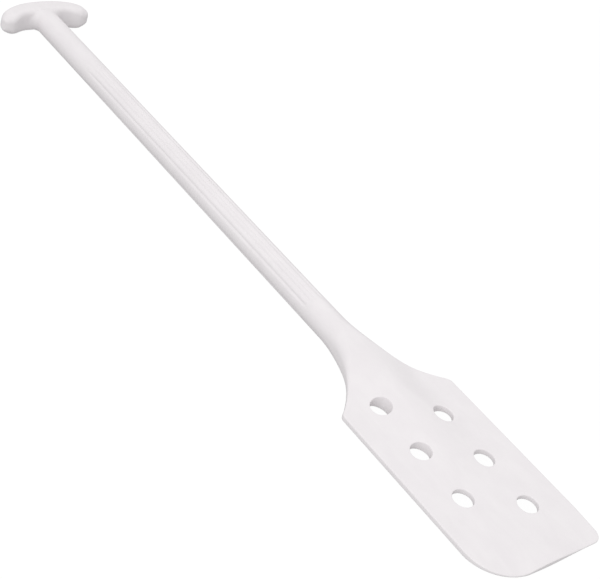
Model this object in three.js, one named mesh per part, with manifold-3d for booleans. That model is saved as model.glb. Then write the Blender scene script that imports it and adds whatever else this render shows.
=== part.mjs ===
// Hand mixing paddle, moulded in one shot of white polypropylene. Millimetres, +Z up.
// The paddle lies flat: the blade end points to -Y, the T-grip to +Y, and the width of the blade is along X.
// Lengths along the paddle are measured from the blade end. The plane halfway through it is "mid".
import * as THREE from "three";
import { mergeVertices } from "three/addons/utils/BufferGeometryUtils.js";
import Module from "manifold-3d";

const wasm = await Module();
wasm.setup();

// Overall
const paddleLength = 1016;
const bladeWidth = 152.4;

// Blade
const sideLength = 235;
const plateThickness = 6;
const endThickness = 2;
const bevelLength = 42;
const leftCornerRadius = 48;
const rightCornerRadius = 12;
const leftShoulderBlend = 4;
const rightShoulderBlend = 5;
const plateEdgeRadius = 1.2;
const ribStart = 82;
const ribHalfWidth = 50;

// Holes through the blade, in two columns half a pitch apart
const holeDiameter = 23;
const holeColumnOffset = 30;
const holePitch = 65.4;
const firstHoleY = 65;
const holesPerColumn = 3;

// Neck and shaft
const flareLength = 116;
const neckDiameter = 34;
const shaftDiameter = 32;
const neckCutMargin = 3;
const plateGrowth = 1.7;

// Reeds: shallow grooves along the top and the bottom of the shaft
const reedFootGap = 23;
const reedEndGap = 122;
const reedFade = 9;
const reedFadeAtGrip = 46;
const reedDepth = 0.9;
const reedsPerSide = 6;
const reedSpacingDegrees = 24.5;

// T-grip
const gripWidth = 127;
const gripDepth = 25.8;
const gripThickness = 31;
const gripEndThickness = 13;
const gripDroop = 17.2;
const gripHook = 10.3;
const gripEndRadius = 8.5;
const gripEndRound = 0.6;
const gripEndSlant = 0.35;
const gripEdgeRadius = 6;
const gripEndEdgeRadius = 10;
const collarLength = 20;
const collarFillet = 9;

// Facets
const shaftPoints = 104;
const platePoints = 60;
const gripPoints = 40;

// Places worked out from the sizes above
const halfWidth = bladeWidth / 2;
const neckRadius = neckDiameter / 2;
const shaftRadius = shaftDiameter / 2;
const holeRadius = holeDiameter / 2;
const flareEnd = sideLength + flareLength;
const gripFoot = paddleLength - gripDepth;
const shaftEnd = gripFoot - collarLength;
const lastHoleY = firstHoleY + holePitch * (holesPerColumn - 0.5);
const bladeEnd = Math.max(sideLength, lastHoleY + holeRadius) + neckCutMargin;
const neckEnd = flareEnd + 4;
const reedStart = neckEnd + reedFootGap;
const midHeight = Math.max(neckRadius, gripThickness / 2);

function clamp01(value) {
  return Math.min(1, Math.max(0, value));
}

function mix(a, b, share) {
  return a + (b - a) * share;
}

function ease(value) {
  const share = clamp01(value);
  return share * share * (3 - 2 * share);
}

// A straight ramp from 0 to 1 whose two ends are rounded off.
function softRamp(value, round) {
  const share = clamp01(value);
  const low = share < round ? (share * share) / (2 * round) : share - round / 2;
  const top = share > 1 - round ? ((share - 1 + round) ** 2) / (2 * round) : 0;
  return (low - top) / (1 - round);
}

// Half the width of the shaft, which is a little thinner at the grip than at the neck.
function shaftHalf(y) {
  return mix(neckRadius, shaftRadius, clamp01((y - flareEnd) / (shaftEnd - flareEnd)));
}

// Half the width of the flare. It is an arc that leaves the shaft tangentially and crosses the
// straight side at the shoulder.
function flareHalf(y) {
  const rise = halfWidth - neckRadius;
  const radius = (flareLength ** 2 + rise ** 2) / (2 * rise);
  const along = Math.min(radius, Math.max(0, flareEnd - y));
  return neckRadius + radius - Math.sqrt(radius ** 2 - along ** 2);
}

// Distance from the middle line to one side, with its shoulder and its end corner rounded.
function sideEdge(y, cornerRadius, shoulderBlend) {
  const flare = flareHalf(y);
  const near = Math.max(0, shoulderBlend - Math.abs(halfWidth - flare)) / shoulderBlend;
  const edge = Math.min(halfWidth, flare) - (near ** 2 * shoulderBlend) / 4;
  const intoCorner = Math.max(0, cornerRadius - y);
  return edge - cornerRadius + Math.sqrt(Math.max(0, cornerRadius ** 2 - intoCorner ** 2));
}

// Half the thickness of the plate that the blade is made of, growing into the round of the shaft.
function plateHalf(y) {
  const bevelled = mix(endThickness, plateThickness, clamp01(y / bevelLength)) / 2;
  return mix(bevelled, shaftHalf(y), ease((y - sideLength - 2) / (flareLength - 2)) ** plateGrowth);
}

// Half the thickness on the middle line, where the shaft runs on into the blade as a wedge.
function crownHalf(y) {
  const wedge = softRamp((y - ribStart) / (flareEnd - ribStart), 0.12);
  return Math.max(plateHalf(y), mix(plateThickness / 2, shaftHalf(y), wedge));
}

// Radius of the edges between the faces and the sides, growing into the full round of the shaft.
function edgeRadius(y) {
  const grown = ease((y - sideLength) / flareLength) ** 1.4;
  return Math.min(plateHalf(y) * 0.999, mix(plateEdgeRadius, neckRadius, grown));
}

// One section across the blade or the neck, as points in X and Z around the mid plane.
function plateRing(y) {
  const left = sideEdge(y, leftCornerRadius, leftShoulderBlend);
  const right = sideEdge(y, rightCornerRadius, rightShoulderBlend);
  const plate = plateHalf(y);
  const rib = crownHalf(y) - plate;
  const radius = y >= neckEnd - 0.01 ? Math.min(left, right) : Math.min(edgeRadius(y), left, right);
  const ring = [];
  for (let i = 0; i < platePoints; i += 1) {
    const angle = (2 * Math.PI * i) / platePoints;
    const x = (right - left) / 2 + ((right + left) / 2) * Math.cos(angle);
    const intoEdge = Math.max(0, radius - Math.min(right - x, x + left));
    const drop = radius - Math.sqrt(Math.max(0, radius ** 2 - intoEdge ** 2));
    const reach = Math.min(1, Math.abs(x) / ribHalfWidth);
    const height = plate - drop + rib * Math.cos((Math.PI / 2) * reach) ** 2 * (1 - drop / plate);
    const side = i === 0 || 2 * i === platePoints ? 0 : Math.sign(Math.sin(angle));
    ring.push([x, y, side * height]);
  }
  return ring;
}

// How deep the reeds are at a height along the shaft: they fade in above the neck and out below the grip.
function reedShare(y) {
  const foot = ease((y - reedStart) / reedFade);
  const top = ease((shaftEnd - reedEndGap + reedFadeAtGrip / 2 - y) / reedFadeAtGrip);
  return foot * top;
}

// One section across the shaft, round, with narrow grooves between rounded reeds above and below.
function shaftRing(y) {
  const ring = [];
  const span = (reedsPerSide * reedSpacingDegrees) / 2;
  for (let i = 0; i < shaftPoints; i += 1) {
    const angle = (2 * Math.PI * i) / shaftPoints;
    const fromTop = Math.abs(Math.abs((angle * 180) / Math.PI - 180) - 90);
    const turn = fromTop / reedSpacingDegrees - 0.5;
    const groove = fromTop < span ? ((1 + Math.cos(2 * Math.PI * turn)) / 2) ** 2 : 0;
    const radius = shaftHalf(y) - reedDepth * reedShare(y) * groove;
    ring.push([radius * Math.cos(angle), y, radius * Math.sin(angle)]);
  }
  return ring;
}

// One section across the T-grip's bar at a distance from the middle. The bar arches, so that its
// ends turn towards the blade and lean inwards.
function gripRing(x) {
  const out = Math.abs(x) / (gripWidth / 2);
  const intoEnd = Math.max(0, Math.abs(x) - gripWidth / 2 + gripEndRadius);
  const round = gripEndRadius - Math.sqrt(gripEndRadius ** 2 - intoEnd ** 2);
  const low = gripFoot - gripHook * ease((out - 0.35) / 0.65) + round * gripEndRound;
  const high = paddleLength - gripDroop * out ** 2.2 - round;
  const thick = mix(gripThickness, gripEndThickness, (out ** 6) * 0.35 + (round / gripEndRadius) * 0.65) / 2;
  const edgeHere = mix(gripEdgeRadius, gripEndEdgeRadius, out ** 4);
  const edge = Math.min(edgeHere, (high - low) * 0.49, thick * 0.98);
  const slant = Math.sign(x) * gripEndSlant * ease((out - 0.45) / 0.55);
  const ring = [];
  for (let i = 0; i < gripPoints; i += 1) {
    const angle = (2 * Math.PI * (i + 0.5)) / gripPoints;
    const c = Math.cos(angle);
    const s = Math.sin(angle);
    const y = (low + high) / 2 + ((high - low) / 2 - edge) * Math.sign(c) + edge * c;
    const z = (thick - edge) * Math.sign(s) + edge * s;
    ring.push([x - slant * (high - y), y, z]);
  }
  return ring;
}

// One section of the collar, which widens by a fillet from the shaft into the bar.
function collarRing(y) {
  const past = Math.max(0, y - (gripFoot - collarFillet));
  const flare = collarFillet - Math.sqrt(Math.max(0, collarFillet ** 2 - Math.min(past, collarFillet) ** 2));
  const half = shaftRadius + Math.min(flare, collarFillet * 0.9);
  const tuck = 1 - 0.1 * clamp01((y - gripFoot) / 8);
  const ring = [];
  for (let i = 0; i < shaftPoints; i += 2) {
    const angle = (2 * Math.PI * i) / shaftPoints;
    ring.push([half * Math.cos(angle), y, shaftRadius * tuck * Math.sin(angle)]);
  }
  return ring;
}

// A closed solid through a row of sections that all have the same number of points.
function loft(rings) {
  const count = rings[0].length;
  const positions = rings.flat(2);
  const index = [];
  for (let r = 0; r + 1 < rings.length; r += 1) {
    for (let i = 0; i < count; i += 1) {
      const next = (i + 1) % count;
      const a = r * count + i;
      const b = r * count + next;
      index.push(a, b, a + count, b, b + count, a + count);
    }
  }
  const last = (rings.length - 1) * count;
  const offset = rings[0][0][2] === 0 ? count : count - 1;
  for (let i = 0; i < count / 2; i += 1) {
    const facing = (offset - i) % count;
    const before = offset - i - 1;
    if (facing !== i) {
      index.push(i, facing, before, last + i, last + before, last + facing);
    }
    if (before !== i + 1 && before > i) {
      index.push(i, before, i + 1, last + i, last + i + 1, last + before);
    }
  }
  const mesh = new wasm.Mesh({
    numProp: 3,
    vertProperties: new Float32Array(positions),
    triVerts: new Uint32Array(index),
  });
  const solid = new wasm.Manifold(mesh);
  return solid.volume() > 0 ? solid : flipped(positions, index);
}

// The same solid with its faces turned the other way round.
function flipped(positions, index) {
  const turned = [];
  for (let i = 0; i < index.length; i += 3) {
    turned.push(index[i], index[i + 2], index[i + 1]);
  }
  return new wasm.Manifold(new wasm.Mesh({
    numProp: 3,
    vertProperties: new Float32Array(positions),
    triVerts: new Uint32Array(turned),
  }));
}

// Stations from one place to another, the ends included.
function stations(from, to, steps) {
  return Array.from({ length: steps + 1 }, (_, i) => mix(from, to, i / steps));
}

// Stations that crowd together near the start, for a rounded end.
function crowded(from, to, steps) {
  return Array.from({ length: steps + 1 }, (_, i) => mix(from, to, 1 - Math.cos((Math.PI / 2) * (i / steps))));
}

function unique(values) {
  const sorted = [...values].sort((a, b) => a - b);
  return sorted.filter((value, i) => i === 0 || value - sorted[i - 1] > 0.35);
}

// Middles of the holes, the left column first, each row half a pitch before its partner.
function holeCentres() {
  const centres = [];
  for (let row = 0; row < holesPerColumn; row += 1) {
    const y = firstHoleY + row * holePitch;
    centres.push([-holeColumnOffset, y + holePitch / 2]);
    centres.push([holeColumnOffset, y]);
  }
  return centres;
}

function holeCutter([x, y]) {
  const height = 4 * midHeight;
  const cylinder = new THREE.CylinderGeometry(holeRadius, holeRadius, height, 40);
  cylinder.rotateX(Math.PI / 2);
  cylinder.translate(x, y, 0);
  return toManifold(cylinder);
}

function toManifold(geometry) {
  geometry.deleteAttribute("normal");
  geometry.deleteAttribute("uv");
  const merged = mergeVertices(geometry);
  return new wasm.Manifold(new wasm.Mesh({
    numProp: 3,
    vertProperties: new Float32Array(merged.attributes.position.array),
    triVerts: new Uint32Array(merged.index.array),
  }));
}

function makeBlade() {
  const ys = unique([
    ...crowded(0, leftCornerRadius, 9),
    ...crowded(0, rightCornerRadius, 5),
    bevelLength,
    ...stations(ribStart, sideLength - 12, 7),
    ...stations(sideLength - 8, bladeEnd - 0.5, 5).slice(0, -1),
    bladeEnd,
  ]);
  let blade = loft(ys.map(plateRing));
  for (const centre of holeCentres()) {
    blade = blade.subtract(holeCutter(centre));
  }
  return blade;
}

function makeNeck() {
  return loft(stations(bladeEnd, neckEnd, 14).map(plateRing));
}

function makeShaft() {
  const fadeEnd = shaftEnd - reedEndGap + reedFadeAtGrip / 2;
  const ys = unique([
    neckEnd,
    ...stations(reedStart, reedStart + reedFade, 4),
    ...stations(fadeEnd - reedFadeAtGrip, fadeEnd, 6),
    shaftEnd,
  ]);
  return loft(ys.map(shaftRing));
}

function makeGrip() {
  const half = gripWidth / 2;
  const straight = half - gripEndRadius;
  const outer = crowded(half, straight, 5);
  const inner = stations(0, straight, 7);
  const side = unique([...inner, ...outer]);
  const xs = [...side.slice(1).reverse().map((x) => -x), ...side];
  const bar = loft(xs.map(gripRing));
  const ys = [shaftEnd, ...stations(gripFoot - collarFillet, gripFoot, 6), gripFoot + 8];
  return bar.add(loft(ys.map(collarRing)));
}

const polypropylene = { color: 0xedebec, roughness: 0.48, metalness: 0 };

function toMesh(name, solid) {
  const placed = solid.translate([0, -paddleLength / 2, midHeight]);
  const mesh = placed.getMesh();
  const geometry = new THREE.BufferGeometry();
  geometry.setAttribute("position", new THREE.BufferAttribute(new Float32Array(mesh.vertProperties), 3));
  geometry.setIndex(new THREE.BufferAttribute(new Uint32Array(mesh.triVerts), 1));
  geometry.computeVertexNormals();
  const part = new THREE.Mesh(geometry, new THREE.MeshStandardMaterial(polypropylene));
  part.name = name;
  return part;
}

const paddle = new THREE.Group();
paddle.name = "mixing_paddle";
paddle.add(toMesh("blade", makeBlade()));
paddle.add(toMesh("neck", makeNeck()));
paddle.add(toMesh("shaft", makeShaft()));
paddle.add(toMesh("t_grip", makeGrip()));

export default paddle;
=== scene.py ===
"""Looks of the hand mixing paddle: one white polypropylene moulding with a T-grip, a reeded shaft, a flared
neck and a flat blade with staggered flow holes. Metres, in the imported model's own frame."""

import logging
import math
from dataclasses import dataclass
from enum import Enum
from typing import Any, Callable, Optional, Sequence

import bmesh
import bpy
import numpy as np
from mathutils import Matrix, Vector, geometry


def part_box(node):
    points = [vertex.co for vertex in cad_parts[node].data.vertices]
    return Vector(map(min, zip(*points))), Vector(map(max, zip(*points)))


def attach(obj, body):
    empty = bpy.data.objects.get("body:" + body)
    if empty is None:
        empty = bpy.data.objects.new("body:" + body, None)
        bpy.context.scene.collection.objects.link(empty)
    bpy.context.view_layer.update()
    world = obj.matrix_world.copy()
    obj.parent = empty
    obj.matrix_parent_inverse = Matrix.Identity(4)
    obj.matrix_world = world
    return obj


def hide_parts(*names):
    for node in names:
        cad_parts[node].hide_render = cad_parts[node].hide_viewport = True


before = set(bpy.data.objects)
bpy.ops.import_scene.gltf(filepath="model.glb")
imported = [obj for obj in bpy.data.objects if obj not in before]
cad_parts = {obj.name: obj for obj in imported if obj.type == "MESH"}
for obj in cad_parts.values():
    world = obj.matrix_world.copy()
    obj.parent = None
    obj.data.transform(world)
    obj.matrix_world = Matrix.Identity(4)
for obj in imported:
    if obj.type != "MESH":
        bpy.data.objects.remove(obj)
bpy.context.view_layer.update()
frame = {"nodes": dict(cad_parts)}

log = logging.getLogger("paddle")

MM = 0.001

Skin = tuple[np.ndarray, list[tuple[int, ...]]]


class Side(Enum):
    """The two sides of the blade, as seen on its upper face with the grip away from you."""

    LEFT = -1
    RIGHT = 1


class Region(Enum):
    """The regions of the moulding, by the names of the nodes that they stand for."""

    BLADE = "blade"
    NECK = "neck"
    SHAFT = "shaft"
    GRIP = "t_grip"


def mix(low: Any, high: Any, share: Any) -> Any:
    """Value that lies a share of the way from low to high."""
    return low + (high - low) * share


def ease(value: Any) -> Any:
    """Smooth step from 0 to 1, flat at both ends."""
    share = np.clip(value, 0.0, 1.0)
    return share * share * (3 - 2 * share)


def soft_ramp(value: Any, rounding: float) -> Any:
    """Straight ramp from 0 to 1 with both ends rounded off.

    Args:
        value: Where on the ramp, 0 to 1.
        rounding: Share of the ramp that each rounded end takes.

    Returns:
        The height of the ramp, 0 to 1.
    """
    share = np.clip(value, 0.0, 1.0)
    low = np.where(share < rounding, share**2 / (2 * rounding), share - rounding / 2)
    top = np.where(share > 1 - rounding, (share - 1 + rounding) ** 2 / (2 * rounding), 0.0)
    return (low - top) / (1 - rounding)


@dataclass(frozen=True)
class PaddleForm:
    """Sizes of the moulding in millimetres. y runs from the blade end, z from the plane halfway through."""

    length: float = 1016.0
    blade_width: float = 152.4
    side_length: float = 235.0
    plate: float = 6.0
    end_plate: float = 2.0
    bevel: float = 42.0
    left_corner: float = 48.0
    right_corner: float = 12.0
    left_blend: float = 4.0
    right_blend: float = 5.0
    edge_round: float = 1.2
    rib_start: float = 82.0
    rib_half: float = 50.0
    rib_rounding: float = 0.12
    flare: float = 116.0
    plate_growth: float = 1.7
    edge_growth: float = 1.4
    neck_radius: float = 16.99
    shaft_radius: float = 16.0
    grip_depth: float = 25.8
    collar: float = 20.0

    @property
    def half(self) -> float:
        """Half the width of the blade."""
        return self.blade_width / 2

    @property
    def flare_end(self) -> float:
        """Where the flare has run out into the shaft."""
        return self.side_length + self.flare

    @property
    def shaft_end(self) -> float:
        """Where the shaft meets the collar of the grip."""
        return self.length - self.grip_depth - self.collar

    def shaft_half(self, y: Any) -> Any:
        """Radius of the shaft, a little less at the grip than at the neck."""
        share = np.clip((y - self.flare_end) / (self.shaft_end - self.flare_end), 0.0, 1.0)
        return mix(self.neck_radius, self.shaft_radius, share)

    def flare_half(self, y: Any) -> Any:
        """Half the width along the arc that widens the neck."""
        rise = self.half - self.neck_radius
        radius = (self.flare**2 + rise**2) / (2 * rise)
        along = np.clip(self.flare_end - y, 0.0, radius)
        return self.neck_radius + radius - np.sqrt(radius**2 - along**2)

    def side(self, y: Any, which: Side) -> Any:
        """Distance from the middle line to one side.

        Args:
            y: Place along the paddle.
            which: The side asked for.

        Returns:
            The distance, with the shoulder and the end corner rounded.
        """
        corner = self.left_corner if which is Side.LEFT else self.right_corner
        blend = self.left_blend if which is Side.LEFT else self.right_blend
        flare = self.flare_half(y)
        near = np.maximum(0.0, blend - np.abs(self.half - flare)) / blend
        edge = np.minimum(self.half, flare) - near**2 * blend / 4
        into = np.maximum(0.0, corner - y)
        return edge - corner + np.sqrt(np.maximum(0.0, corner**2 - into**2))

    def plate_half(self, y: Any) -> Any:
        """Half the thickness beside the rib, bevelled at the end and full round at the shaft."""
        bevelled = mix(self.end_plate, self.plate, np.clip(y / self.bevel, 0.0, 1.0)) / 2
        grown = ease((y - self.side_length - 2) / (self.flare - 2)) ** self.plate_growth
        return mix(bevelled, self.shaft_half(y), grown)

    def crown_half(self, y: Any) -> Any:
        """Half the thickness on the middle line, where the shaft runs into the blade as a wedge."""
        wedge = soft_ramp((y - self.rib_start) / (self.flare_end - self.rib_start), self.rib_rounding)
        return np.maximum(self.plate_half(y), mix(self.plate / 2, self.shaft_half(y), wedge))

    def face_half(self, x: Any, y: Any) -> Any:
        """Height of the upper face over the middle plane, before its edges are rounded."""
        plate = self.plate_half(y)
        reach = np.minimum(1.0, np.abs(x) / self.rib_half)
        return plate + (self.crown_half(y) - plate) * np.cos(math.pi / 2 * reach) ** 2

    def edge_radius(self, y: Any) -> Any:
        """Radius of the edges, growing into the full round of the shaft."""
        grown = ease((y - self.side_length) / self.flare) ** self.edge_growth
        return np.minimum(self.plate_half(y) * 0.999, mix(self.edge_round, self.neck_radius, grown))


@dataclass(frozen=True)
class Frame:
    """Turns millimetres along the paddle into metres in the model's frame."""

    y0: float
    z0: float

    @classmethod
    def from_nodes(cls) -> "Frame":
        """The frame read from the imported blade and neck."""
        low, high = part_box(Region.NECK.value)
        return cls(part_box(Region.BLADE.value)[0][1], (low[2] + high[2]) / 2)

    def place(self, points: np.ndarray) -> np.ndarray:
        """Points of the moulding in metres.

        Args:
            points: Rows of x, y, z in millimetres.

        Returns:
            The same rows in the model's frame.
        """
        return np.asarray(points, float) * MM + np.array([0.0, self.y0, self.z0])

    def along(self, metres: float) -> float:
        """Millimetres from the blade end for a y of the model's frame."""
        return (metres - self.y0) / MM


class Link:
    """One output socket, with operators that add Math nodes."""

    def __init__(self, graph: "Graph", socket: Any) -> None:
        """Wraps a socket of a graph."""
        self.graph = graph
        self.socket = socket

    def _maths(self, operation: str, first: Any, second: Any) -> "Link":
        """Adds one Math node on two values and returns its result."""
        return self.graph.node("ShaderNodeMath", {"operation": operation}, {0: first, 1: second})

    def __add__(self, other: Any) -> "Link":
        """Sum of two values."""
        return self._maths("ADD", self, other)

    def __radd__(self, other: Any) -> "Link":
        """Sum with a number on the left."""
        return self._maths("ADD", other, self)

    def __sub__(self, other: Any) -> "Link":
        """Difference of two values."""
        return self._maths("SUBTRACT", self, other)

    def __rsub__(self, other: Any) -> "Link":
        """Difference with a number on the left."""
        return self._maths("SUBTRACT", other, self)

    def __mul__(self, other: Any) -> "Link":
        """Product of two values."""
        return self._maths("MULTIPLY", self, other)

    def __rmul__(self, other: Any) -> "Link":
        """Product with a number on the left."""
        return self._maths("MULTIPLY", other, self)

    def __truediv__(self, other: Any) -> "Link":
        """Quotient of two values."""
        return self._maths("DIVIDE", self, other)

    def at_least(self, other: Any) -> "Link":
        """The larger of two values."""
        return self._maths("MAXIMUM", self, other)

    def at_most(self, other: Any) -> "Link":
        """The smaller of two values."""
        return self._maths("MINIMUM", self, other)

    def cosine(self) -> "Link":
        """Cosine of an angle in radians."""
        return self._maths("COSINE", self, 0.0)

    def sine(self) -> "Link":
        """Sine of an angle in radians."""
        return self._maths("SINE", self, 0.0)

    def size(self) -> "Link":
        """The value without its sign."""
        return self._maths("ABSOLUTE", self, 0.0)


class Graph:
    """A node tree that is written as expressions."""

    def __init__(self, tree: Any) -> None:
        """Starts with an empty tree."""
        self.tree = tree
        self.tree.nodes.clear()

    def node(
        self,
        kind: str,
        settings: Optional[dict[str, Any]] = None,
        sockets: Optional[dict[Any, Any]] = None,
        out: Any = 0,
    ) -> Link:
        """Adds a node.

        Args:
            kind: The node's type.
            settings: Its properties.
            sockets: A value or a Link for each input, by number or name.
            out: The output that is returned.

        Returns:
            The chosen output.
        """
        made = self.tree.nodes.new(kind)
        for key, value in (settings or {}).items():
            setattr(made, key, value)
        for key, value in (sockets or {}).items():
            socket = made.inputs[key]
            if isinstance(value, Link):
                self.tree.links.new(value.socket, socket)
            elif value is not None:
                socket.default_value = value
        outputs = made.outputs
        return Link(self, outputs[out]) if len(outputs) else Link(self, made)

    def unit_sheet(self, columns: Link, rows: Link) -> tuple[Link, Link, Link]:
        """Adds a flat sheet of a unit's side, for a Geometry Nodes tree to roll up.

        Args:
            columns: Number of faces across.
            rows: Number of faces up.

        Returns:
            The sheet, and each point's share across and up, 0 to 1.
        """
        size = {"Size X": 1.0, "Size Y": 1.0, "Vertices X": columns + 1, "Vertices Y": rows + 1}
        sheet = self.node("GeometryNodeMeshGrid", {}, size)
        place = self.node("GeometryNodeInputPosition")
        split = self.tree.nodes.new("ShaderNodeSeparateXYZ")
        self.tree.links.new(place.socket, split.inputs[0])
        return sheet, Link(self, split.outputs[0]) + 0.5, Link(self, split.outputs[1]) + 0.5


@dataclass(frozen=True)
class MouldedPolypropylene:
    """Satin white polypropylene as it leaves the mould: faint clouding, fine grain and flow marks."""

    name: str = "white_polypropylene"
    base: tuple[float, float, float] = (0.872, 0.840, 0.855)
    shade: tuple[float, float, float] = (0.836, 0.802, 0.818)
    milky: tuple[float, float, float] = (0.908, 0.880, 0.888)
    fleck: tuple[float, float, float] = (0.70, 0.68, 0.68)
    fleck_share: float = 0.30
    scuff: tuple[float, float, float] = (0.93, 0.92, 0.925)
    scuff_share: float = 0.20
    cloud_scale: float = 26.0
    flow_scale: float = 70.0
    flow_stretch: float = 0.35
    peel_scale: float = 210.0
    fleck_scale: float = 240.0
    scuff_scale: float = 420.0
    grain_scale: float = 1500.0
    grain_height: float = 0.00010
    grain_strength: float = 0.55
    roughness: float = 0.47
    ior: float = 1.49

    @staticmethod
    def _noise(graph: Graph, place: Link, scale: float, detail: float, **more: float) -> Link:
        """One noise texture.

        Args:
            graph: The material's graph.
            place: Where it is read.
            scale: Its scale.
            detail: Its number of octaves.
            more: Other inputs, by name.

        Returns:
            Its value, 0 to 1.
        """
        given = {"Vector": place, "Scale": scale, "Detail": detail, **more}
        return graph.node("ShaderNodeTexNoise", {}, given)

    @staticmethod
    def _blend(graph: Graph, share: Link, under: Any, over: Any) -> Link:
        """Mixes two colours, each a Link or three numbers."""
        first, second = ((*c, 1.0) if isinstance(c, tuple) else c for c in (under, over))
        return graph.node("ShaderNodeMix", {"data_type": "RGBA"}, {0: share, 6: first, 7: second}, out=2)

    def material(self) -> bpy.types.Material:
        """Builds the finish.

        Returns:
            The material, patterned on Object coordinates.
        """
        made = bpy.data.materials.new(self.name)
        made.use_nodes = True
        graph = Graph(made.node_tree)
        place = graph.node("ShaderNodeTexCoord", out="Object")
        stretch = {"Vector": place, "Scale": (1.0, self.flow_stretch, 1.0)}
        along = graph.node("ShaderNodeMapping", {}, stretch)
        clouds = self._noise(graph, place, self.cloud_scale, 4.0, Roughness=0.55)
        flow = self._noise(graph, along, self.flow_scale, 3.0, Distortion=0.6)
        grain = self._noise(graph, place, self.grain_scale, 2.0, Roughness=0.6)
        peel = self._noise(graph, place, self.peel_scale, 2.0)
        marks = self._noise(graph, along, self.scuff_scale, 5.0, Roughness=0.65, Distortion=0.8)
        cells = {"Vector": place, "Scale": self.fleck_scale, "Randomness": 1.0}
        speck = (1.0 - graph.node("ShaderNodeTexVoronoi", {"feature": "F1"}, cells) * 9.0).at_least(0.0)
        worn = ((marks - 0.63) * 7.0).at_least(0.0).at_most(1.0)
        clouding = ((clouds - 0.30) * 1.7).at_least(0.0).at_most(1.0)
        streaks = ((flow - 0.42) * 1.2).at_least(0.0).at_most(0.5)
        colour = self._blend(graph, clouding, self.shade, self.base)
        colour = self._blend(graph, streaks, colour, self.milky)
        colour = self._blend(graph, speck * self.fleck_share, colour, self.fleck)
        colour = self._blend(graph, worn * self.scuff_share, colour, self.scuff)
        rough = self.roughness - 0.06 + clouds * 0.10 + worn * 0.13 - speck * 0.05
        rough = rough.at_least(0.2).at_most(0.8)
        height = grain * 0.35 + peel * 0.55 + flow * 0.30 - speck * 0.25 + worn * 0.15
        relief = {"Strength": self.grain_strength, "Distance": self.grain_height, "Height": height}
        bump = graph.node("ShaderNodeBump", {}, relief)
        skin = {"Base Color": colour, "Roughness": rough, "IOR": self.ior, "Normal": bump}
        shader = graph.node("ShaderNodeBsdfPrincipled", {}, skin)
        graph.node("ShaderNodeOutputMaterial", {}, {"Surface": shader})
        return made


def finished_mesh(
    name: str,
    points: np.ndarray,
    faces: Sequence[Sequence[int]],
    finish: bpy.types.Material,
    merge: float = 2e-6,
) -> bpy.types.Object:
    """Makes a closed, smooth-shaded piece.

    Args:
        name: Name of the piece.
        points: Rows of x, y, z in metres.
        faces: Corners of each face.
        finish: Its material.
        merge: Distance under which two points become one.

    Returns:
        The object, at the origin.
    """
    mesh = bpy.data.meshes.new(name)
    mesh.from_pydata([tuple(p) for p in points], [], [tuple(int(i) for i in f) for f in faces])
    body = bmesh.new()
    body.from_mesh(mesh)
    bmesh.ops.remove_doubles(body, verts=body.verts, dist=merge)
    bmesh.ops.dissolve_degenerate(body, dist=1e-7, edges=body.edges)
    bmesh.ops.recalc_face_normals(body, faces=body.faces)
    if body.calc_volume(signed=True) < 0:
        bmesh.ops.reverse_faces(body, faces=body.faces)
    for face in body.faces:
        face.smooth = True
    body.to_mesh(mesh)
    body.free()
    mesh.materials.append(finish)
    made = bpy.data.objects.new(name, mesh)
    bpy.context.scene.collection.objects.link(made)
    return made


def crisp_caps(piece: bpy.types.Object, degrees: float = 40.0) -> None:
    """Marks the edges that turn by more than an angle as sharp, so that faces beside them stay clean."""
    body = bmesh.new()
    body.from_mesh(piece.data)
    limit = math.radians(degrees)
    for edge in body.edges:
        if len(edge.link_faces) == 2 and edge.calc_face_angle(0.0) > limit:
            edge.smooth = False
    body.to_mesh(piece.data)
    body.free()


def settle(piece: bpy.types.Object, region: Region) -> None:
    """Fixes a finished piece to the paddle in place of its node."""
    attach(piece, "root")
    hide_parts(region.value)
    log.info("%s: %d faces", piece.name, len(piece.data.polygons))


@dataclass
class NodeTree:
    """A Geometry Nodes tree with named inputs."""

    name: str
    inputs: dict[str, float]

    def build(self, body: Callable[[Graph, dict[str, Link]], Link]) -> bpy.types.NodeTree:
        """Makes the tree.

        Args:
            body: Fills the graph and returns the geometry.

        Returns:
            The finished tree.
        """
        tree = bpy.data.node_groups.new(self.name, "GeometryNodeTree")
        graph = Graph(tree)
        for name, value in self.inputs.items():
            kind = "NodeSocketInt" if isinstance(value, int) else "NodeSocketFloat"
            socket = tree.interface.new_socket(name, in_out="INPUT", socket_type=kind)
            socket.default_value = value
        tree.interface.new_socket("Finish", in_out="INPUT", socket_type="NodeSocketMaterial")
        tree.interface.new_socket("Geometry", in_out="OUTPUT", socket_type="NodeSocketGeometry")
        source = tree.nodes.new("NodeGroupInput")
        links = {s.name: Link(graph, s) for s in source.outputs if s.name}
        shape = body(graph, links)
        real = graph.node("GeometryNodeRealizeInstances", {}, {0: shape})
        dressed = graph.node("GeometryNodeSetMaterial", {}, {"Geometry": real, "Material": links["Finish"]})
        sink = tree.nodes.new("NodeGroupOutput")
        tree.links.new(dressed.socket, sink.inputs[0])
        return tree

    def mesh(self, tree: bpy.types.NodeTree, finish: bpy.types.Material) -> bpy.types.Mesh:
        """Runs the tree and returns its result as a plain mesh.

        Args:
            tree: The tree that build made.
            finish: The material that it sets.

        Returns:
            The mesh, with the modifier gone.
        """
        seed = bpy.data.objects.new(self.name, bpy.data.meshes.new(self.name + "_seed"))
        bpy.context.scene.collection.objects.link(seed)
        modifier = seed.modifiers.new(self.name, "NODES")
        modifier.node_group = tree
        for item in tree.interface.items_tree:
            if item.in_out == "INPUT" and item.name in self.inputs:
                modifier[item.identifier] = self.inputs[item.name]
            elif item.in_out == "INPUT" and item.name == "Finish":
                modifier[item.identifier] = finish
        graph = bpy.context.evaluated_depsgraph_get()
        result = bpy.data.meshes.new_from_object(seed.evaluated_get(graph))
        bpy.data.objects.remove(seed)
        return result


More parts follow.
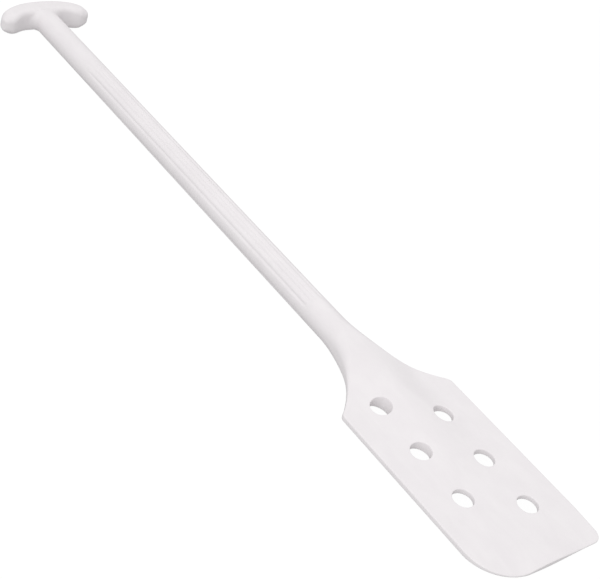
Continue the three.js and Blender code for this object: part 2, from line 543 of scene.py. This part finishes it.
@dataclass
class FlowHoles:
    """The round holes through the blade, in two columns half a pitch apart. Sizes in millimetres."""

    radius: float = 11.5
    rim: float = 0.9
    column: float = 30.0
    pitch: float = 65.4
    first: float = 65.0
    rows: int = 3
    around: int = 72
    rim_rows: int = 5

    def centres(self) -> np.ndarray:
        """Middles of the holes, as rows of x and y."""
        stagger = {Side.LEFT: self.pitch / 2, Side.RIGHT: 0.0}
        return np.array(
            [
                (side.value * self.column, self.first + row * self.pitch + stagger[side])
                for row in range(self.rows)
                for side in Side
            ]
        )

    def tree(self) -> NodeTree:
        """The tree that sets one rim on each hole's middle."""
        return NodeTree(
            "flow_holes",
            {
                "Radius": self.radius,
                "Rim": self.rim,
                "Column": self.column,
                "Pitch": self.pitch,
                "First": self.first,
                "Rows": self.rows,
                "Around": self.around,
                "Rim rows": self.rim_rows,
            },
        )

    @staticmethod
    def body(graph: Graph, given: dict[str, Link]) -> Link:
        """Fills the tree: a sheet is rolled into a rim and set on staggered points.

        Args:
            graph: The tree's graph.
            given: Its named inputs.

        Returns:
            The rims, as instances. Their z holds the row number of the rim.
        """
        sheet, across, up = graph.unit_sheet(given["Around"], given["Rim rows"])
        turn = across * (2 * math.pi)
        row = up * given["Rim rows"]
        share = (row / (given["Rim rows"] - 1)).at_most(1.0)
        reach = given["Radius"] + given["Rim"] - given["Rim"] * (share * (math.pi / 2)).sine()
        ring = {0: reach * turn.cosine(), 1: reach * turn.sine(), 2: row}
        rolled = graph.node("ShaderNodeCombineXYZ", {}, ring)
        rim = graph.node("GeometryNodeSetPosition", {}, {"Geometry": sheet, "Position": rolled})
        columns = []
        for side in Side:
            stagger = 0.5 if side is Side.LEFT else 0.0
            first = {0: given["Column"] * float(side.value), 1: given["First"] + given["Pitch"] * stagger}
            start = graph.node("ShaderNodeCombineXYZ", {}, first)
            step = graph.node("ShaderNodeCombineXYZ", {}, {1: given["Pitch"]})
            stops = {"Count": given["Rows"], "Start Location": start, "Offset": step}
            line = graph.node("GeometryNodeMeshLine", {"mode": "OFFSET"}, stops)
            columns.append(graph.node("GeometryNodeInstanceOnPoints", {}, {"Points": line, "Instance": rim}))
        joined = graph.tree.nodes.new("GeometryNodeJoinGeometry")
        for column in columns:
            graph.tree.links.new(column.socket, joined.inputs[0])
        return Link(graph, joined.outputs[0])

    def rims(self, finish: bpy.types.Material) -> Skin:
        """Makes the rims of all the holes.

        Args:
            finish: Material of the moulding.

        Returns:
            Points as x, y and row number, and the faces between them.
        """
        tree = self.tree()
        mesh = tree.mesh(tree.build(self.body), finish)
        points = np.array([v.co[:] for v in mesh.vertices])
        faces = [tuple(p.vertices) for p in mesh.polygons]
        bpy.data.meshes.remove(mesh)
        return points, faces


@dataclass
class Blade:
    """The flat blade: a bevelled plate with a wedge-shaped rib and flow holes. Sizes in millimetres."""

    form: PaddleForm
    frame: Frame
    finish: bpy.types.Material
    holes: FlowHoles
    grid: float = 2.4
    edge_rows: int = 4
    shoulder_step: float = 1.2
    shoulder_reach: float = 14.0
    past_cut: float = 4.0
    cut_margin: float = 1.3

    def outline(self, end: float) -> np.ndarray:
        """The edge from the left of the cut, round the end, to the right of the cut.

        Args:
            end: Where the blade is cut off, along the paddle.

        Returns:
            Rows of x and y, a little past the cut at both ends.
        """
        left = self._side_points(end, Side.LEFT)
        right = self._side_points(end, Side.RIGHT)
        low, high = -left[-1, 0], right[-1, 0]
        count = int((high + low) / self.grid)
        foot = np.column_stack([np.linspace(left[-1, 0], high, count)[1:-1], np.zeros(count - 2)])
        return np.vstack([left, foot, right[::-1]])

    def _side_points(self, end: float, side: Side) -> np.ndarray:
        """One side of the outline, from past the cut down to the end of the blade."""
        form = self.form
        corner = form.left_corner if side is Side.LEFT else form.right_corner
        turns = np.linspace(0.0, math.pi / 2, max(8, int(corner * 1.57 / 2.0)))
        round_y = corner * (1 - np.sin(turns))
        shoulder_foot = form.side_length - self.shoulder_reach
        shoulder = np.arange(end + self.past_cut, shoulder_foot, -self.shoulder_step)
        straight = np.arange(shoulder[-1] - self.grid, corner + 1.0, -self.grid)
        ys = np.concatenate([shoulder, straight, round_y])
        xs = side.value * form.side(ys, side)
        arc_x = side.value * (form.half - corner + corner * np.cos(turns))
        xs[-len(turns):] = arc_x
        return np.column_stack([xs, ys])

    def _edge_loops(self, end: float) -> list[np.ndarray]:
        """The loops that round the edge over, from the wall in to the face, cut off at the end."""
        line = self.outline(end)
        away = np.gradient(line, axis=0)
        inward = np.column_stack([-away[:, 1], away[:, 0]])
        inward /= np.linalg.norm(inward, axis=1)[:, None]
        radius = self.form.edge_radius(line[:, 1])
        loops = []
        for k in range(self.edge_rows + 1):
            turn = math.pi / 2 * k / self.edge_rows
            at = line + inward * (radius * (1 - math.cos(turn)))[:, None]
            z = self.form.face_half(at[:, 0], at[:, 1]) - radius * (1 - math.sin(turn))
            loops.append(np.column_stack([at, z]))
        below = np.flatnonzero(np.all([loop[:, 1] < end - self.cut_margin for loop in loops], axis=0))
        return [self._trimmed(loop, below[0], below[-1], end) for loop in loops]

    def _rim_skin(self) -> tuple[np.ndarray, list[tuple[int, ...]], np.ndarray]:
        """The holes' rims and walls down to the middle plane, and the outer edges of the rims."""
        points, faces = self.holes.rims(self.finish)
        row = points[:, 2]
        share = np.minimum(row / (self.holes.rim_rows - 1), 1.0)
        drop = self.holes.rim * (1 - np.cos(share * math.pi / 2))
        height = self.form.face_half(points[:, 0], points[:, 1]) - drop
        z = np.where(row > self.holes.rim_rows - 0.5, 0.0, height)
        return np.column_stack([points[:, :2], z]), faces, points[row < 0.5][:, :2]

    def build(self) -> bpy.types.Object:
        """Makes the blade: the upper half is joined from four skins, and the lower half mirrors it.

        Returns:
            The finished piece, in place of its node.
        """
        end = self.frame.along(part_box(Region.BLADE.value)[1][1])
        loops = self._edge_loops(end)
        rim_points, rim_faces, outer = self._rim_skin()
        sheet, sheet_faces = self._sheet(loops[-1][:, :2], outer, end)
        sheet_z = self.form.face_half(sheet[:, 0], sheet[:, 1])
        skins = (
            self._edge(loops),
            (rim_points, rim_faces),
            (np.column_stack([sheet, sheet_z]), sheet_faces),
            self._cap(loops, sheet, end),
        )
        points, faces = np.zeros((0, 3)), []
        for skin, skin_faces in skins:
            for sign in (1, -1):
                start = len(points)
                points = np.vstack([points, skin * np.array([1, 1, sign])])
                faces += [tuple(start + i for i in f) for f in skin_faces]
        name = Region.BLADE.value + "_moulding"
        piece = finished_mesh(name, self.frame.place(points), faces, self.finish, 2e-5)
        crisp_caps(piece)
        settle(piece, Region.BLADE)
        return piece

    @staticmethod
    def _trimmed(rows: np.ndarray, first: int, last: int, end: float) -> np.ndarray:
        """Cuts both ends of an edge loop off exactly at the end of the blade.

        Args:
            rows: Points of the loop.
            first: First row that every loop keeps.
            last: Last row that every loop keeps.
            end: Where the blade is cut off.

        Returns:
            The kept rows, with a point on the cut at each end.
        """

        def cross(i: int, step: int) -> np.ndarray:
            """Point where the loop passes the cut, walking one way."""
            while rows[i + step, 1] < end:
                i += step
            share = (end - rows[i, 1]) / (rows[i + step, 1] - rows[i, 1])
            return rows[i] + (rows[i + step] - rows[i]) * share

        return np.vstack([cross(first, -1), rows[first : last + 1], cross(last, 1)])

    def _edge(self, loops: list[np.ndarray]) -> Skin:
        """The rounded edge and the wall below it, down to the middle plane."""
        count = len(loops[0])
        wall = loops[0].copy()
        wall[:, 2] = 0.0
        rows = [wall, *loops]
        points = np.vstack(rows)
        faces = [
            (r * count + i, r * count + i + 1, (r + 1) * count + i + 1, (r + 1) * count + i)
            for r in range(len(rows) - 1)
            for i in range(count - 1)
        ]
        return points, faces

    def _sheet(self, inner: np.ndarray, rims: np.ndarray, end: float) -> Skin:
        """The flat of the face between the edge and the holes, as triangles on x and y."""
        rings = []
        for centre in self.holes.centres():
            near = rims[np.linalg.norm(rims - centre, axis=1) < self.holes.radius * 1.5]
            order = np.argsort(np.arctan2(near[:, 1] - centre[1], near[:, 0] - centre[0]))
            ring = near[order]
            keep = np.linalg.norm(ring - np.roll(ring, 1, axis=0), axis=1) > 0.05
            rings.append(ring[keep])
        width = inner[-1, 0] - inner[0, 0]
        cut_count = int(width / self.grid)
        cut = np.column_stack(
            [np.linspace(inner[-1, 0], inner[0, 0], cut_count)[1:-1], np.full(cut_count - 2, end)]
        )
        border = np.vstack([inner, cut])
        xs = np.arange(-self.form.half, self.form.half, self.grid)
        ys = np.arange(0.0, end, self.grid)
        mesh_x, mesh_y = np.meshgrid(xs, ys)
        mesh_x[1::2] += self.grid / 2
        free = np.column_stack([mesh_x.ravel(), mesh_y.ravel()])
        gap = self.grid * 0.55
        chain = np.vstack([border, *rings])
        nearest = np.array([np.min(np.hypot(*(chain - p).T)) for p in free])
        free = free[(nearest > gap) & inside_loop(free, border)]
        for centre in self.holes.centres():
            free = free[np.linalg.norm(free - centre, axis=1) > self.holes.radius + self.holes.rim]
        points = np.vstack([border, *rings, free])
        edges = []
        start = 0
        for ring in (border, *rings):
            edges += [(start + i, start + (i + 1) % len(ring)) for i in range(len(ring))]
            start += len(ring)
        made = geometry.delaunay_2d_cdt([Vector(p) for p in points], edges, [], 0, 1e-6)
        spots = np.array([v[:] for v in made[0]])
        triangles = np.array([tuple(f) for f in made[2]])
        middle = spots[triangles].mean(axis=1)
        keep = inside_loop(middle, border)
        for ring in rings:
            keep &= ~inside_loop(middle, ring)
        return spots, [tuple(t) for t in triangles[keep]]

    def _cap(self, loops: list[np.ndarray], sheet: np.ndarray, end: float) -> Skin:
        """The upper half of the flat face where the blade runs on into the neck."""
        left = [loop[0] for loop in loops]
        right = [loop[-1] for loop in loops][::-1]
        across = sheet[np.abs(sheet[:, 1] - end) < 1e-4][:, 0]
        across = np.sort(across[(across > left[-1][0] + 0.05) & (across < right[0][0] - 0.05)])
        height = self.form.face_half(across, np.full(len(across), end))
        middle = [np.array([x, end, z]) for x, z in zip(across, height)]
        top = np.array([*left, *middle, *right])
        foot = top.copy()
        foot[:, 2] = 0.0
        count = len(top)
        faces = [(i, i + 1, count + i + 1, count + i) for i in range(count - 1)]
        return np.vstack([top, foot]), faces


def inside_loop(points: np.ndarray, loop: np.ndarray) -> np.ndarray:
    """Which points lie inside a closed loop.

    Args:
        points: Rows of x and y.
        loop: The loop's corners in order.

    Returns:
        One truth value for each point.
    """
    inside = np.zeros(len(points), bool)
    x, y = points[:, 0], points[:, 1]
    for (x0, y0), (x1, y1) in zip(loop, np.roll(loop, -1, axis=0)):
        if y0 == y1:
            continue
        crosses = (y0 > y) != (y1 > y)
        inside ^= crosses & (x < (x1 - x0) * (y - y0) / (y1 - y0) + x0)
    return inside


def lofted(rings: list[np.ndarray]) -> Skin:
    """Joins sections of equal length into a closed skin with flat ends.

    Args:
        rings: Sections in order, each with the same number of points.

    Returns:
        Points and faces.
    """
    count = len(rings[0])
    points = np.vstack(rings)
    faces: list[tuple[int, ...]] = []
    for r in range(len(rings) - 1):
        for i in range(count):
            j = (i + 1) % count
            faces.append((r * count + i, r * count + j, (r + 1) * count + j, (r + 1) * count + i))
    for start in (0, (len(rings) - 1) * count):
        for i in range(count // 2):
            one, two = start + i, start + i + 1
            three, four = start + (count - i - 1) % count, start + (count - i) % count
            corners = tuple(dict.fromkeys((one, two, three, four)))
            if len(corners) > 2:
                faces.append(corners)
    return points, faces


def lofted_round(rings: list[np.ndarray]) -> Skin:
    """Joins sections whose points start half a step past the middle plane, with flat ends."""
    count = len(rings[0])
    points, faces = lofted(rings)
    faces = faces[: (len(rings) - 1) * count]
    for start in (0, (len(rings) - 1) * count):
        for i in range(count // 2 - 1):
            near, far = start + i, start + count - i - 1
            faces.append((near, near + 1, far - 1, far))
    return points, faces


@dataclass
class Neck:
    """The flare between the shaft and the blade. Sizes in millimetres."""

    form: PaddleForm
    frame: Frame
    finish: bpy.types.Material
    around: int = 168
    step: float = 1.5

    def section(self, y: float) -> np.ndarray:
        """One section, with its edges rounded square to the slanted side.

        Args:
            y: Place along the paddle.

        Returns:
            Rows of x, y, z.
        """
        form = self.form
        left, right = float(form.side(y, Side.LEFT)), float(form.side(y, Side.RIGHT))
        slant = float(form.flare_half(y - 0.5) - form.flare_half(y + 0.5))
        across = 1 / math.sqrt(1 + slant**2)
        plate = float(form.plate_half(y))
        radius = min(float(form.edge_radius(y)), min(left, right))
        turns = 2 * math.pi * np.arange(self.around) / self.around
        x = (right - left) / 2 + (right + left) / 2 * np.cos(turns)
        into = np.maximum(0.0, radius - np.minimum(right - x, x + left) * across)
        drop = radius - np.sqrt(np.maximum(0.0, radius**2 - into**2))
        height = form.face_half(x, np.full_like(x, y)) - drop
        height = np.maximum(height, 0.0)
        height[0] = height[self.around // 2] = 0.0
        return np.column_stack([x, np.full_like(x, y), np.sign(np.sin(turns)) * height])

    def build(self) -> bpy.types.Object:
        """Makes the neck, in place of its node."""
        low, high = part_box(Region.NECK.value)
        start, end = self.frame.along(low[1]), self.frame.along(high[1])
        ys = np.linspace(start, end, int((end - start) / self.step))
        points, faces = lofted([self.section(float(y)) for y in ys])
        piece = finished_mesh(Region.NECK.value + "_moulding", self.frame.place(points), faces, self.finish)
        crisp_caps(piece, 50.0)
        settle(piece, Region.NECK)
        return piece


@dataclass
class Shaft:
    """The round shaft with narrow grooves between its reeds, above and below. Sizes in millimetres."""

    form: PaddleForm
    frame: Frame
    finish: bpy.types.Material
    around: int = 208
    along: int = 250
    reed_foot: float = 27.0
    reed_end_gap: float = 122.0
    fade_foot: float = 9.0
    fade_top: float = 46.0
    depth: float = 0.9
    reeds: int = 6
    spacing: float = 24.5

    def tree(self, low: float, high: float) -> NodeTree:
        """The tree that rolls a sheet into the reeded shaft.

        Args:
            low: Where the shaft starts, along the paddle.
            high: Where it ends.

        Returns:
            The tree, with the inputs that it takes.
        """
        return NodeTree(
            "reeded_shaft",
            {
                "Low": low,
                "High": high,
                "Neck radius": float(self.form.shaft_half(low)),
                "Grip radius": float(self.form.shaft_half(high)),
                "Reed foot": self.form.flare_end + self.reed_foot,
                "Reed top": self.form.shaft_end - self.reed_end_gap + self.fade_top / 2,
                "Foot fade": self.fade_foot,
                "Top fade": self.fade_top,
                "Depth": self.depth,
                "Spacing": self.spacing,
                "Span": self.reeds * self.spacing / 2,
                "Around": self.around,
                "Along": self.along,
            },
        )

    @staticmethod
    def body(graph: Graph, given: dict[str, Link]) -> Link:
        """Fills the tree.

        Args:
            graph: The tree's graph.
            given: Its named inputs.

        Returns:
            The open tube, in millimetres.
        """

        def smooth(value: Link) -> Link:
            """Smooth step of a value."""
            share = value.at_least(0.0).at_most(1.0)
            return share * share * (3.0 - 2.0 * share)

        sheet, share, up = graph.unit_sheet(given["Around"], given["Along"])
        y = given["Low"] + (given["High"] - given["Low"]) * up
        degrees = share * 360.0
        from_top = ((degrees - 180.0).size() - 90.0).size()
        groove = ((from_top / given["Spacing"] - 0.5) * (2 * math.pi)).cosine() * 0.5 + 0.5
        inside = ((given["Span"] - from_top) * 50.0).at_least(0.0).at_most(1.0)
        foot = smooth((y - given["Reed foot"]) / given["Foot fade"])
        top = smooth((given["Reed top"] - y) / given["Top fade"])
        cut = given["Depth"] * foot * top * inside * groove * groove
        radius = given["Neck radius"] + (given["Grip radius"] - given["Neck radius"]) * up - cut
        turn = share * (2 * math.pi)
        ring = {0: radius * turn.cosine(), 1: y, 2: radius * turn.sine()}
        rolled = graph.node("ShaderNodeCombineXYZ", {}, ring)
        return graph.node("GeometryNodeSetPosition", {}, {"Geometry": sheet, "Position": rolled})

    def build(self) -> bpy.types.Object:
        """Makes the shaft, in place of its node."""
        low, high = (self.frame.along(corner[1]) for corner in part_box(Region.SHAFT.value))
        tree = self.tree(low, high)
        mesh = tree.mesh(tree.build(self.body), self.finish)
        points = np.array([v.co[:] for v in mesh.vertices])
        faces = [tuple(p.vertices) for p in mesh.polygons]
        bpy.data.meshes.remove(mesh)
        for y in (low, high):
            ring = np.flatnonzero(np.abs(points[:, 1] - y) < 1e-3)
            order = ring[np.argsort(np.arctan2(points[ring, 2], points[ring, 0]))]
            start = len(points)
            points = np.vstack([points, [0.0, y, 0.0]])
            faces += [(order[i], order[(i + 1) % len(order)], start) for i in range(len(order))]
        piece = finished_mesh(Region.SHAFT.value + "_moulding", self.frame.place(points), faces, self.finish)
        crisp_caps(piece, 50.0)
        settle(piece, Region.SHAFT)
        return piece


@dataclass
class TGrip:
    """The arched bar across the top of the shaft, with its collar. Sizes in millimetres."""

    form: PaddleForm
    frame: Frame
    finish: bpy.types.Material
    width: float = 127.0
    thickness: float = 31.0
    end_thickness: float = 13.0
    droop: float = 17.2
    droop_power: float = 2.2
    hook: float = 10.3
    hook_start: float = 0.35
    end_radius: float = 8.5
    end_round: float = 0.6
    end_slant: float = 0.35
    slant_start: float = 0.45
    edge_radius: float = 6.0
    end_edge_radius: float = 10.0
    fillet: float = 9.0
    tuck: float = 0.1
    tuck_length: float = 8.0
    past_cut: float = 5.0
    shy: float = 0.03
    cell: float = 0.75
    smoothing: int = 5

    def bar_section(self, x: float, count: int = 96) -> np.ndarray:
        """One section across the bar.

        Args:
            x: Distance from the middle.
            count: Number of points.

        Returns:
            Rows of x, y, z.
        """
        foot = self.form.length - self.form.grip_depth
        out = abs(x) / (self.width / 2)
        into = max(0.0, abs(x) - self.width / 2 + self.end_radius)
        turn = self.end_radius - math.sqrt(max(0.0, self.end_radius**2 - into**2))
        hooked = float(ease((out - self.hook_start) / (1 - self.hook_start)))
        low = foot - self.hook * hooked + turn * self.end_round
        high = self.form.length - self.shy - self.droop * out**self.droop_power - turn
        share = out**6 * 0.35 + turn / self.end_radius * 0.65
        thick = mix(self.thickness, self.end_thickness, share) / 2
        wanted = mix(self.edge_radius, self.end_edge_radius, out**4)
        edge = min(wanted, (high - low) * 0.49, thick * 0.98)
        slanted = float(ease((out - self.slant_start) / (1 - self.slant_start)))
        slant = math.copysign(self.end_slant, x) * slanted
        turns = 2 * math.pi * (np.arange(count) + 0.5) / count
        c, s = np.cos(turns), np.sin(turns)
        y = (low + high) / 2 + ((high - low) / 2 - edge) * np.sign(c) + edge * c
        z = (thick - edge) * np.sign(s) + edge * s
        return np.column_stack([x - slant * (high - y), y, z])

    def collar_section(self, y: float, count: int = 96) -> np.ndarray:
        """One section across the collar, which widens by a fillet into the bar."""
        foot = self.form.length - self.form.grip_depth
        past = min(max(0.0, y - (foot - self.fillet)), self.fillet)
        flare = self.fillet - math.sqrt(max(0.0, self.fillet**2 - past**2))
        half = self.form.shaft_radius + min(flare, self.fillet * 0.9)
        tuck = 1 - self.tuck * min(1.0, max(0.0, (y - foot) / self.tuck_length))
        turns = 2 * math.pi * np.arange(count) / count
        depth = self.form.shaft_radius * tuck
        return np.column_stack([half * np.cos(turns), np.full(count, y), depth * np.sin(turns)])

    def build(self) -> bpy.types.Object:
        """Makes the grip, in place of its node: bar and collar are joined and the corner is eased."""
        start = self.frame.along(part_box(Region.GRIP.value)[0][1])
        half = self.width / 2
        ends = half - self.end_radius * (1 - np.sin(np.linspace(0, math.pi / 2, 12)))
        side = np.concatenate([np.linspace(0, half - self.end_radius, 28)[:-1], ends])
        xs = np.concatenate([-side[:0:-1], side])
        bar = self._raw("bar", lofted_round([self.bar_section(float(x)) for x in xs]))
        foot = self.form.length - self.form.grip_depth
        ys = [start - self.past_cut, *np.linspace(foot - self.fillet, foot, 14), foot + self.tuck_length]
        collar = self._raw("collar", lofted([self.collar_section(float(y)) for y in ys]))
        union = bar.modifiers.new("join", "BOOLEAN")
        union.operation, union.object, union.solver = "UNION", collar, "EXACT"
        cells = bar.modifiers.new("cells", "REMESH")
        cells.mode, cells.voxel_size, cells.adaptivity = "VOXEL", self.cell * MM, 0.0
        soften = bar.modifiers.new("soften", "SMOOTH")
        soften.factor, soften.iterations = 0.5, self.smoothing
        graph = bpy.context.evaluated_depsgraph_get()
        mesh = bpy.data.meshes.new_from_object(bar.evaluated_get(graph))
        for spare in (bar, collar):
            bpy.data.objects.remove(spare)
        self._cut_off(mesh, start)
        mesh.materials.clear()
        mesh.materials.append(self.finish)
        piece = bpy.data.objects.new(Region.GRIP.value + "_moulding", mesh)
        bpy.context.scene.collection.objects.link(piece)
        crisp_caps(piece, 50.0)
        settle(piece, Region.GRIP)
        return piece

    def _cut_off(self, mesh: bpy.types.Mesh, start: float) -> None:
        """Cuts the grip off flat where it meets the shaft, and closes it there.

        Args:
            mesh: The grip, with its collar too long.
            start: Where it is cut, along the paddle.
        """
        body = bmesh.new()
        body.from_mesh(mesh)
        done = bmesh.ops.bisect_plane(
            body,
            geom=[*body.verts, *body.edges, *body.faces],
            dist=1e-6,
            plane_co=Vector(self.frame.place(np.array([[0.0, start, 0.0]]))[0]),
            plane_no=Vector((0, -1, 0)),
            clear_outer=True,
        )
        rim = [g for g in done["geom_cut"] if isinstance(g, bmesh.types.BMEdge)]
        bmesh.ops.triangle_fill(body, edges=rim, use_beauty=True)
        bmesh.ops.recalc_face_normals(body, faces=body.faces)
        for face in body.faces:
            face.smooth = True
        body.to_mesh(mesh)
        body.free()

    def _raw(self, name: str, skin: Skin) -> bpy.types.Object:
        """Makes a working solid that is used up in building the grip."""
        return finished_mesh("working_" + name, self.frame.place(skin[0]), skin[1], self.finish)


@dataclass
class Studio:
    """Pale floor, soft lights and the camera."""

    frame: Frame
    lens: float = 83.04
    shift: float = 0.0075
    eye: tuple[float, float, float] = (-920.1, -395.6, 896.0)
    heading: float = 48.57
    down: float = 36.15
    roll: float = 19.555
    sky: float = 0.785
    floor_half: float = 30.0
    floor_seen: float = 0.96
    floor_glow: float = 0.40
    floor_matt: float = 0.07
    key: float = 13.0
    fill: float = 31.0

    def floor(self) -> None:
        """Lays a pale floor that glows a little, so that shadows stay faint."""
        made = bpy.data.materials.new("pale_floor")
        made.use_nodes = True
        graph = Graph(made.node_tree)
        seen = graph.node("ShaderNodeLightPath", out="Is Camera Ray")
        strength = seen * (self.floor_seen - self.floor_glow) + self.floor_glow
        glow = graph.node("ShaderNodeEmission", {}, {"Color": (1.0, 1.0, 1.0, 1.0), "Strength": strength})
        matt = graph.node("ShaderNodeBsdfDiffuse", {}, {"Color": (*(self.floor_matt,) * 3, 1.0)})
        both = graph.node("ShaderNodeAddShader", {}, {0: glow, 1: matt})
        graph.node("ShaderNodeOutputMaterial", {}, {"Surface": both})
        mesh = bpy.data.meshes.new("floor")
        size = self.floor_half
        corners = [(-size, -size, 0), (size, -size, 0), (size, size, 0), (-size, size, 0)]
        mesh.from_pydata(corners, [], [(0, 1, 2, 3)])
        mesh.materials.append(made)
        sheet = bpy.data.objects.new("floor", mesh)
        bpy.context.scene.collection.objects.link(sheet)

    def sky_light(self) -> None:
        """Fills the room with even white light."""
        world = bpy.data.worlds.new("room")
        bpy.context.scene.world = world
        world.use_nodes = True
        graph = Graph(world.node_tree)
        seen = graph.node("ShaderNodeLightPath", out="Is Camera Ray")
        strength = seen * (1.0 - self.sky) + self.sky
        back = graph.node("ShaderNodeBackground", {}, {"Color": (1.0, 1.0, 1.0, 1.0), "Strength": strength})
        graph.node("ShaderNodeOutputWorld", {}, {"Surface": back})

    def lamp(self, name: str, place: tuple[float, float, float], size: float, watts: float) -> None:
        """Hangs one soft square light that points at the paddle.

        Args:
            name: Name of the light.
            place: Where it hangs.
            size: Side of the square.
            watts: Its power.
        """
        data = bpy.data.lights.new(name, "AREA")
        data.shape, data.size, data.energy = "SQUARE", size, watts
        made = bpy.data.objects.new(name, data)
        made.location, made.visible_camera = place, False
        made.rotation_euler = (Vector((0, 0, 0)) - Vector(place)).to_track_quat("-Z", "Y").to_euler()
        bpy.context.scene.collection.objects.link(made)

    def camera(self) -> None:
        """Sets the camera over the blade end, to the left."""
        data = bpy.data.cameras.new("camera")
        data.sensor_fit, data.sensor_width, data.lens = "HORIZONTAL", 36.0, self.lens
        data.shift_x = self.shift
        data.clip_start, data.clip_end = 0.05, 100.0
        made = bpy.data.objects.new("camera", data)
        turn, dip, roll = (math.radians(v) for v in (self.heading, self.down, self.roll))
        ahead = Vector((math.sin(turn) * math.cos(dip), math.cos(turn) * math.cos(dip), -math.sin(dip)))
        flat = ahead.cross(Vector((0, 0, 1))).normalized()
        upright = flat.cross(ahead)
        right = flat * math.cos(roll) + upright * math.sin(roll)
        up = -flat * math.sin(roll) + upright * math.cos(roll)
        place = Matrix.Translation(Vector(self.frame.place(np.array([self.eye]))[0]))
        made.matrix_world = place @ Matrix((right, up, -ahead)).transposed().to_4x4()
        bpy.context.scene.collection.objects.link(made)
        bpy.context.scene.camera = made

    def build(self) -> None:
        """Sets up the whole studio."""
        bpy.context.scene.view_settings.view_transform = "Standard"
        self.camera()
        self.floor()
        self.sky_light()
        self.lamp("key", (2.4, 1.5, 2.6), 2.6, self.key)
        self.lamp("fill", (-2.5, -0.9, 1.9), 2.2, self.fill)


def main() -> None:
    """Builds the studio, then the paddle region by region."""
    logging.basicConfig(level=logging.INFO, format="%(name)s %(message)s")
    form = PaddleForm()
    place = Frame.from_nodes()
    finish = MouldedPolypropylene().material()
    Studio(place).build()
    for part in (
        Blade(form, place, finish, FlowHoles()),
        Neck(form, place, finish),
        Shaft(form, place, finish),
        TGrip(form, place, finish),
    ):
        part.build()


if __name__ == "__main__":
    main()
